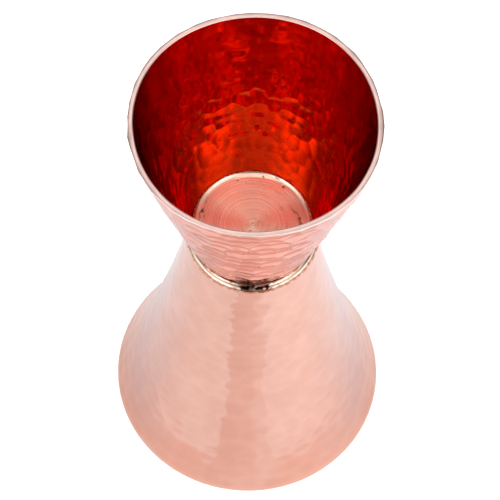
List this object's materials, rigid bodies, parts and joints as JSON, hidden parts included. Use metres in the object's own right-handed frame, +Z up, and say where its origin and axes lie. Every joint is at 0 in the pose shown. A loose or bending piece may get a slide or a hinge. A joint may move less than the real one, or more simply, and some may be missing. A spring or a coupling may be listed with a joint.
{
  "type": "bar jigger",
  "caption": "Double-ended spirit measure: two hammered copper cups, narrow end to narrow end, joined under a polished ring, the larger one flared as the foot.",
  "frame": {"origin": "middle of the larger cup's mouth, on the plane of its lip, which is the surface that the jigger stands on", "axes": "+Z up through both cups along the axis that they are turned about, towards the smaller cup's mouth; the jigger is the same all round it, so +X and +Y are any two directions at right angles"},
  "size_m": [0.0534, 0.0534, 0.1035],
  "materials": {
    "hammered_copper": "hammered and polished bare copper, pale pink outside, deep red where it reflects itself inside the cup",
    "turned_copper": "copper disc with fine concentric turning marks and a few pits and scratches",
    "polished_copper": "copper wire ring, mirror polished",
    "solder": "pale hard solder, bright, with small dark pits"
  },
  "bodies": {
    "root": {"upper_cup_wall": "hammered_copper", "upper_cup_floor": "turned_copper", "upper_floor_solder": "solder", "waist_ring": "polished_copper", "waist_solder": "solder", "lower_cup_floor": "turned_copper", "lower_floor_solder": "solder", "lower_cup_wall": "hammered_copper"}
  },
  "joints": []
}
